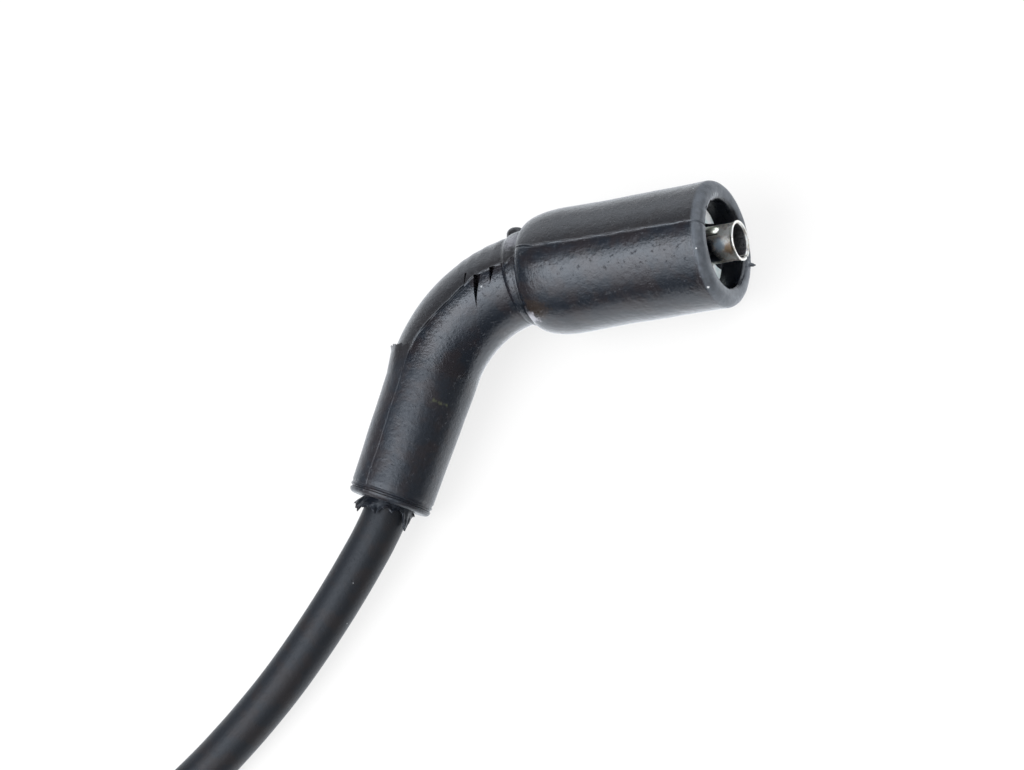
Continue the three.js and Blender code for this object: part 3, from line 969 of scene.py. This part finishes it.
# %% [markdown]
# Rubber that comes out of a mould isn't even. It has a fine grain, slow waves, small pits, and faint
# rings left by the lathe that cut the mould. All are heights for a bump, and the grain varies the gloss
# too. The rings are a noise stretched along the attribute along, so they run round the barrel.

# %% Rubber surface group
rubber_surface, given, result = new_group(
    "rubber surface",
    [("Place", VECTOR, (0, 0, 0)), ("Along", FLOAT, 0.0), ("Ring strength", FLOAT, 0.5)],
    [("Height", FLOAT), ("Gloss change", FLOAT), ("Tint", FLOAT)],
)
tree = rubber_surface
place = given["Place"]
grain = noise_at(tree, place, 2.6, detail=4.0, roughness=0.65)
pits = ramp(tree, noise_at(tree, place, 1.1, detail=3.0, roughness=0.75), 0.6, 0.72)
ring_shift = new_node(tree, "ShaderNodeCombineXYZ", {"X": product(tree, given["Along"], 3.2)}).outputs[0]
ring_place = vectors(tree, "ADD", vectors(tree, "MULTIPLY", place, (0.6, 0.6, 0.6)), ring_shift)
ring_height = product(tree, noise_at(tree, ring_place, 1.0, roughness=0.55), given["Ring strength"])
height = maths(tree, "MULTIPLY_ADD", pits, -0.8, maths(tree, "ADD", grain, ring_height))
height = maths(tree, "MULTIPLY_ADD", noise_at(tree, place, 0.8), 1.5, height)
tint = ramp(tree, noise_at(tree, place, 0.22, detail=3.0, roughness=0.6), 0.42, 0.62)
give(tree, result["Height"], height)
give(tree, result["Gloss change"], maths(tree, "SUBTRACT", grain, 0.5))
give(tree, result["Tint"], tint)
print("group", rubber_surface.name)

# %% [markdown]
# Dust sits on the rubber as sparse pale specks of uneven size. A Voronoi texture gives one point to
# each cell, a threshold on the distance makes it a speck, and the cell's random colour decides
# which cells have one at all.

# %% Dust group
dust, given, result = new_group(
    "dust specks",
    [("Place", VECTOR, (0, 0, 0)), ("Density", FLOAT, 0.3), ("Size", FLOAT, 0.12)],
    [("Mask", FLOAT)],
)
cells = new_node(dust, "ShaderNodeTexVoronoi", {"Vector": given["Place"], "Scale": 0.62})
chance = new_node(dust, "ShaderNodeSeparateColor", {0: cells.outputs["Color"]})
has_speck = maths(dust, "LESS_THAN", chance.outputs["Red"], given["Density"])
speck_size = product(dust, chance.outputs["Green"], given["Size"])
within = maths(dust, "SUBTRACT", speck_size, cells.outputs["Distance"])
give(dust, result["Mask"], product(dust, ramp(dust, within, 0.0, 0.03), has_speck))
print("group", dust.name)

# %% [markdown]
# Every material starts the same way: a shader with its plain values, and object coordinates in
# millimetres, so that patterns keep their real size. Stains and chips, painted shade and painted
# highlights are spots at measured places, with edges that a noise frays.

# %% Material helpers
dust_colour = (0.4, 0.42, 0.44)
barrel_axis = (0, 52, 11.45)


def principled(name, inputs=None):
    """Starts a material, and returns it with its tree, its shader and its place in millimetres."""
    material = bpy.data.materials.new(name)
    material.use_nodes = True
    tree = material.node_tree
    shader = tree.nodes["Principled BSDF"]
    for socket, value in (inputs or {}).items():
        give(tree, shader.inputs[socket], value)
    coordinates = tree.nodes.new("ShaderNodeTexCoord").outputs["Object"]
    return material, tree, shader, vectors(tree, "MULTIPLY", coordinates, (1000, 1000, 1000))


def cover(material, *pieces):
    """Gives pieces a material in place of what they had."""
    for piece in pieces:
        piece.data.materials.clear()
        piece.data.materials.append(material)
    print(material.name, "on", *(piece.name for piece in pieces))


def attribute(tree, name):
    return new_node(tree, "ShaderNodeAttribute", attribute_name=name).outputs["Fac"]


def add_bump(tree, shader, height, distance):
    bump = new_node(tree, "ShaderNodeBump", {"Strength": 1.0, "Distance": distance, "Height": height})
    give(tree, shader.inputs["Normal"], bump.outputs[0])


def add_dust(tree, place, colour, density, size):
    """Puts dust on a colour, and returns the colour and the specks' mask."""
    inputs = {"Place": place, "Density": density, "Size": size}
    mask = new_node(tree, "ShaderNodeGroup", inputs, node_tree=dust).outputs["Mask"]
    return blend_colour(tree, product(tree, mask, 0.7), colour, dust_colour), mask


def distance_from_axis(tree, place):
    """How far a place is from the barrel's axis, in millimetres."""
    return vectors(tree, "DISTANCE", vectors(tree, "MULTIPLY", place, (0, 1, 1)), barrel_axis)


def add_spots(tree, place, colour, spots):
    """Paints soft spots: each has a centre in millimetres, a radius and a colour."""
    frayed = maths(tree, "MULTIPLY_ADD", noise_at(tree, place, 1.1, detail=4.0, roughness=0.7), 2.4, -0.2)
    for centre, radius, spot_colour in spots:
        distance = product(tree, vectors(tree, "DISTANCE", place, centre), frayed)
        colour = blend_colour(tree, ramp(tree, distance, radius * 1.2, radius * 0.4), colour, spot_colour)
    return colour


print("material helpers are ready")

# %% [markdown]
# The boots' rubber is a satin black that leans to blue in places and to brown in others. The two
# mould halves differ: the outer one is duller. The sleeve is duller too. The rim face is painted paler
# in patches, as painted light on a face that looks towards the light, and the socket is painted darker,
# as painted shade where hardly any light gets in. Gloss is what makes black rubber read as rubber, so
# most of the work is in the roughness and the bump.

# %% Boot rubber
rubber_blue = (0.0062, 0.0085, 0.0132)
rubber_brown = (0.0105, 0.0085, 0.0105)
outer_half_colour = (0.0135, 0.0125, 0.0135)
# Painted shade: a darker colour for the socket's walls.
socket_painted_shade = (0.0025, 0.0035, 0.006)
# Painted light: a paler colour for the rim face, which looks towards the light.
rim_painted_light = (0.075, 0.085, 0.1)
rubber_roughness = 0.19
ring_strength = 0.55
rim_finish_start = mouth_place - 1.9
rubber_stains_and_painted_highlights = [
    ((95.2, 42.6, 17.6), 2.6, (0.02, 0.014, 0.011)),
    # The next two pale spots, at the root of the collar and the shoulder, are painted highlights.
    ((92.8, 41.6, 15.6), 2.0, (0.3, 0.3, 0.34)),
    ((91.1, 56.7, 18.5), 2.2, (0.16, 0.16, 0.18)),
    ((85.0, 48.5, 19.0), 0.22, (0.5, 0.52, 0.54)),
    ((128.75, 41.95, 16.4), 0.24, (0.6, 0.62, 0.64)),
    ((128.2, 43.3, 18.5), 0.2, (0.4, 0.42, 0.44)),
    ((128.9, 47.3, 21.6), 0.14, (0.5, 0.52, 0.54)),
]
for step in range(6):
    scuff_place = (73.5 + 0.3 * step, 29.85 - 0.08 * step, 15.05 - 0.42 * step)
    rubber_stains_and_painted_highlights.append((scuff_place, 0.42, (0.05, 0.055, 0.03)))
# Pale flecks along the torn inner edge of the rim are painted highlights.
for degrees in range(10, 70, 6):
    aside = 8.7 * math.sin(math.radians(degrees))
    above = 8.7 * math.cos(math.radians(degrees))
    torn_edge_highlight_place = (129.6, barrel_axis[1] + aside, barrel_axis[2] + above)
    rubber_stains_and_painted_highlights.append((torn_edge_highlight_place, 0.6, (0.22, 0.23, 0.25)))

boot_rubber, tree, shader, place = principled("boot rubber")
along = attribute(tree, "along")
off_sleeve = ramp(tree, along, 22.0, 29.0)
on_sleeve = maths(tree, "SUBTRACT", 1.0, off_sleeve)
outer_half = product(tree, ramp(tree, attribute(tree, "side"), -0.01, 0.02), off_sleeve)
outside = ramp(tree, distance_from_axis(tree, place), 8.2, 8.6)
on_rim = product(tree, ramp(tree, along, rim_finish_start, rim_finish_start + 0.7), outside)
near_mouth = ramp(tree, along, mouth_place - 9.0, mouth_place - 8.0)
in_socket = product(tree, near_mouth, maths(tree, "SUBTRACT", 1.0, outside))
# A noise that breaks the rim's painted light into patches.
rim_light_patches = ramp(tree, noise_at(tree, place, 0.9, detail=4.0, roughness=0.65), 0.3, 0.7, 0.6, 1.0)
rings = ramp(tree, along, 48.0, 55.0, ring_strength * 0.3, ring_strength)
inputs = {"Place": place, "Along": along, "Ring strength": rings}
surface = new_node(tree, "ShaderNodeGroup", inputs, node_tree=rubber_surface).outputs

colour = blend_colour(tree, surface["Tint"], rubber_blue, rubber_brown)
colour = blend_colour(tree, product(tree, outer_half, 0.8), colour, outer_half_colour)
# Painted shade: the socket's walls are darker.
colour = blend_colour(tree, in_socket, colour, socket_painted_shade)
# Painted light: the rim face is paler, in noisy patches.
colour = blend_colour(tree, product(tree, on_rim, rim_light_patches), colour, rim_painted_light)
colour = add_spots(tree, place, colour, rubber_stains_and_painted_highlights)
colour, specks = add_dust(tree, place, colour, 0.06, 0.13)
give(tree, shader.inputs["Base Color"], colour)
rough = maths(tree, "MULTIPLY_ADD", surface["Gloss change"], 0.3, rubber_roughness)
for mask, change in ((outer_half, 0.12), (on_sleeve, 0.18), (on_rim, 0.2), (specks, 0.3)):
    rough = maths(tree, "MULTIPLY_ADD", mask, change, rough)
give(tree, shader.inputs["Roughness"], rough)
add_bump(tree, shader, maths(tree, "ADD", surface["Height"], specks), 0.00005)
cover(boot_rubber, coil_boot, plug_boot)

# %% [markdown]
# The dried grease is dull and pale, with a slow change from teal to white.

# %% Pale patches
pale_patch_teal = (0.62, 0.74, 0.76)
pale_patch_white = (0.85, 0.87, 0.88)

pale_patch_material, tree, shader, place = principled("pale patch", {"Roughness": 0.6})
whiter = ramp(tree, noise_at(tree, place, 0.25), 0.4, 0.6)
give(tree, shader.inputs["Base Color"], blend_colour(tree, whiter, pale_patch_teal, pale_patch_white))
add_bump(tree, shader, noise_at(tree, place, 2.5), 0.00006)
cover(pale_patch_material, socket_pale_patches)

# %% [markdown]
# The cable's jacket is extruded, so its fine lines run lengthways instead. A curve with a bevel has
# its own map, with one axis round the section, and a noise stretched along it makes the lines.

# %% Cable jacket
jacket_blue = (0.008, 0.0095, 0.0125)
jacket_brown = (0.012, 0.0105, 0.0115)
jacket_roughness = 0.42

jacket, tree, shader, place = principled("cable jacket", {"Specular IOR Level": 0.3})
inputs = {"Place": place, "Ring strength": 0.0}
surface = new_node(tree, "ShaderNodeGroup", inputs, node_tree=rubber_surface).outputs
cable_map = new_node(tree, "ShaderNodeUVMap").outputs[0]
lines = noise_at(tree, vectors(tree, "MULTIPLY", cable_map, (2.0, 60.0, 1.0)), 1.0)
colour = blend_colour(tree, surface["Tint"], jacket_blue, jacket_brown)
colour, specks = add_dust(tree, place, colour, 0.06, 0.1)
give(tree, shader.inputs["Base Color"], colour)
rough = maths(tree, "MULTIPLY_ADD", surface["Gloss change"], 0.2, jacket_roughness)
give(tree, shader.inputs["Roughness"], maths(tree, "MULTIPLY_ADD", lines, 0.12, rough))
add_bump(tree, shader, maths(tree, "MULTIPLY_ADD", lines, 0.5, surface["Height"]), 0.00003)
cover(jacket, cable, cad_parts["cable_coil_end"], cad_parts["cable_plug_end"])

# %% [markdown]
# The terminals are bright rolled steel that has seen heat: brown and blue tints along the tube, and
# a clean flare. The tints follow a slow noise, a fine one breaks up the gloss, and the bore is stained.

# %% Terminal steel
heat_blue = (0.13, 0.19, 0.27)
stain_dark = (0.05, 0.047, 0.05)
stain_pale = (0.17, 0.16, 0.16)
steel_tints_and_painted_shade = [
    # The first two spots darken the tube's near side inside the socket: painted shade. The rest are tints.
    ((127.6, 50.3, 14.4), 1.5, (0.05, 0.055, 0.075)),
    ((127.9, 48.9, 12.6), 1.7, (0.04, 0.045, 0.06)),
    ((131.4, 49.7, 13.9), 1.2, (0.42, 0.29, 0.19)),
    ((129.9, 50.4, 14.4), 1.2, (0.42, 0.48, 0.53)),
    ((128.9, 53.5, 14.6), 1.2, (0.85, 0.87, 0.72)),
]


def steel_material(name, bright, tinted, tint_share, roughness):
    material, tree, shader, place = principled(name, {"Metallic": 1.0})
    slow = noise_at(tree, place, 0.75, detail=3.0, roughness=0.6)
    fine = noise_at(tree, place, 7.0)
    in_bore = ramp(tree, distance_from_axis(tree, place), 3.02, 3.12, 1.0, 0.0)
    colour = blend_colour(tree, product(tree, ramp(tree, slow, 0.44, 0.6), tint_share), bright, tinted)
    colour = blend_colour(tree, product(tree, ramp(tree, slow, 0.56, 0.66), tint_share), colour, heat_blue)
    colour = add_spots(tree, place, colour, steel_tints_and_painted_shade)
    stained = blend_colour(tree, ramp(tree, fine, 0.4, 0.6), stain_dark, stain_pale)
    give(tree, shader.inputs["Base Color"], blend_colour(tree, in_bore, colour, stained))
    rough = maths(tree, "MULTIPLY_ADD", fine, 0.22, roughness)
    give(tree, shader.inputs["Roughness"], maths(tree, "MULTIPLY_ADD", in_bore, 0.2, rough))
    add_bump(tree, shader, maths(tree, "MULTIPLY_ADD", slow, 2.0, fine), 0.00002)
    return material


terminal_steel = steel_material("terminal steel", (0.8, 0.78, 0.73), (0.5, 0.38, 0.27), 0.55, 0.3)
spring_steel = steel_material("spring steel", (0.5, 0.49, 0.47), (0.35, 0.3, 0.24), 0.4, 0.25)
cover(terminal_steel, terminal, plug_terminal)
cover(spring_steel, spring)

# %% [markdown]
# The floor is plain and pale, and the background is white because the camera, mirrors and glass see
# it so, not because of more light on the object. A share of its own shading stays in, which keeps
# the soft shadow under the lead. A glossy surface is read by what it reflects, so the floor that the
# rubber mirrors is bright only where the photograph's rubber shows a bright floor: close by, and
# further out on the left than on the right.

# %% Floor
floor_size = 6.0
shadow_share = 0.22
floor_in_mirrors = 1.75
dark_floor_in_mirrors = 0.12
bright_floor_slope = 0.364
bright_floor_lean = 0.368


def seen_directly(tree, rays):
    """One where a ray comes from the camera or through glass."""
    return maths(tree, "MAXIMUM", rays["Is Camera Ray"], rays["Is Transmission Ray"])


floor = start_piece(bpy.ops.mesh.primitive_grid_add, x_subdivisions=4, y_subdivisions=4, size=floor_size)
bpy.ops.object.mode_set(mode="OBJECT")
floor.name = "floor"
paper_look = {"Base Color": (0.85, 0.85, 0.85), "Roughness": 0.9, "Specular IOR Level": 0.0}
floor_paper, tree, shader, place = principled("floor paper", paper_look)
rays = tree.nodes.new("ShaderNodeLightPath").outputs
arrival = tree.nodes.new("ShaderNodeNewGeometry").outputs["Incoming"]
steepness = new_node(tree, "ShaderNodeSeparateXYZ", {0: arrival}).outputs
nearness = maths(tree, "MULTIPLY_ADD", steepness["X"], bright_floor_lean, steepness["Z"])
limits = (bright_floor_slope - 0.1, bright_floor_slope + 0.1, dark_floor_in_mirrors, floor_in_mirrors)
glow_look = {"Color": (0.95, 1.0, 1.06), "Strength": ramp(tree, nearness, *limits)}
glow = new_node(tree, "ShaderNodeEmission", glow_look).outputs[0]
white = new_node(tree, "ShaderNodeEmission", {"Color": (1, 1, 1), "Strength": 1.0}).outputs[0]
whiteness = product(tree, seen_directly(tree, rays), 1 - shadow_share)
paper = new_node(tree, "ShaderNodeMixShader", {0: whiteness, 1: shader.outputs[0], 2: white}).outputs[0]
paper = new_node(tree, "ShaderNodeMixShader", {0: rays["Is Glossy Ray"], 1: paper, 2: glow}).outputs[0]
give(tree, tree.nodes["Material Output"].inputs["Surface"], paper)
floor_paper.cycles.emission_sampling = "NONE"
cover(floor_paper, floor)
print("floor", floor_size, "m wide")

# %% [markdown]
# The room is seen only in reflections. It is a map of brightness by direction, read off the
# photograph's highlights: a wide softbox above, with a sharp edge on the wall's side and a long fade
# towards the front, a faint glow straight above, a pale wall behind, a reflector on the side that the
# boot's mouth faces, and dark elsewhere.

# %% Room
room_ambient = 0.55
mouth_side_ambient = 1.2
dark_level = 0.21
wall_direction = (-0.17, 0.985, 0)
wall_level = 1.55
softbox_level = 6.0
softbox_edge = (-0.05, 0.12)
softbox_fade = (0.14, 1.48)
softbox_left_end = (-0.8, -0.52)
softbox_dimming = (-0.4, -0.02)
softbox_dim_share = 0.68
softbox_right_end = (0.2, 0.6)
overhead_level = 0.9
mouth_side_level = 2.4
mirror_tint = (0.93, 1.0, 1.09)

world = bpy.data.worlds.new("studio")
bpy.context.scene.world = world
world.use_nodes = True
world.cycles.sampling_method = "NONE"
tree = world.node_tree
rays = tree.nodes.new("ShaderNodeLightPath").outputs
direction = tree.nodes.new("ShaderNodeTexCoord").outputs["Generated"]
facing = new_node(tree, "ShaderNodeSeparateXYZ", {0: direction}).outputs
lean = maths(tree, "ARCTAN2", product(tree, facing["Y"], -1.0), facing["Z"])
softbox = product(
    tree,
    ramp(tree, lean, *softbox_edge),
    ramp(tree, lean, *softbox_fade, 1.0, 0.0),
    ramp(tree, facing["X"], *softbox_right_end, 1.0, 0.0),
    ramp(tree, facing["X"], *softbox_left_end),
    ramp(tree, facing["X"], *softbox_dimming, 1.0, softbox_dim_share),
)
towards_wall = ramp(tree, vectors(tree, "DOT_PRODUCT", direction, wall_direction), 0.5, 0.9)
wall = product(tree, towards_wall, ramp(tree, facing["Z"], 0.3, 0.95, 1.0, 0.0))
overhead = ramp(tree, facing["Z"], 0.86, 0.98)
mouth_side = product(tree, ramp(tree, facing["X"], 0.25, 0.6), ramp(tree, facing["Y"], 0.05, 0.35))
room = dark_level
for shape, level in (
    (wall, wall_level), (softbox, softbox_level), (overhead, overhead_level), (mouth_side, mouth_side_level),
):
    room = maths(tree, "MULTIPLY_ADD", shape, level, room)
ambient = ramp(tree, facing["X"], 0.1, 0.8, room_ambient, room_ambient + mouth_side_ambient)
mirrored = product(tree, rays["Is Glossy Ray"], room)
diffuse = product(tree, rays["Is Diffuse Ray"], ambient)
strength = maths(tree, "MAXIMUM", seen_directly(tree, rays), maths(tree, "MAXIMUM", mirrored, diffuse))
background = tree.nodes["Background"].inputs
give(tree, background["Strength"], strength)
give(tree, background["Color"], blend_colour(tree, rays["Is Glossy Ray"], (1.0, 1.0, 1.0), mirror_tint))
print("softbox seen at", softbox_level, "times white")

# %% [markdown]
# Two area lights stand in for the softbox where light falls on surfaces: they give the rubber its own
# faint colour and the lead its soft shadow. They are left out of reflections, where the room's map
# already shows the softbox.

# %% Area lights
lamp_aim = Vector((0.1, 0.045, 0.01))
lamp_distance = 0.9
lamp_slant = 0.446


def area_light(name, lean, width, depth, radiance):
    """An area light over the lead, leaning towards minus Y, so bright that it reads as a radiance."""
    data = bpy.data.lights.new(name, "AREA")
    data.shape = "RECTANGLE"
    data.size = width
    data.size_y = depth
    data.energy = radiance * math.pi * width * depth
    lamp = bpy.data.objects.new(name, data)
    bpy.context.scene.collection.objects.link(lamp)
    across = math.sqrt(1 - lamp_slant ** 2)
    towards = Vector((-lamp_slant, -across * math.sin(lean), across * math.cos(lean)))
    lamp.location = lamp_aim + towards * lamp_distance
    lamp.rotation_mode = "QUATERNION"
    lamp.rotation_quaternion = towards.to_track_quat("Z", "X")
    lamp.visible_glossy = False
    print(name, "stands at", tuple(round(value, 3) for value in lamp.location))


area_light("key light", math.radians(18), 0.6, 0.9, 4.0)
area_light("fill light", math.radians(45), 0.55, 0.9, 1.6)
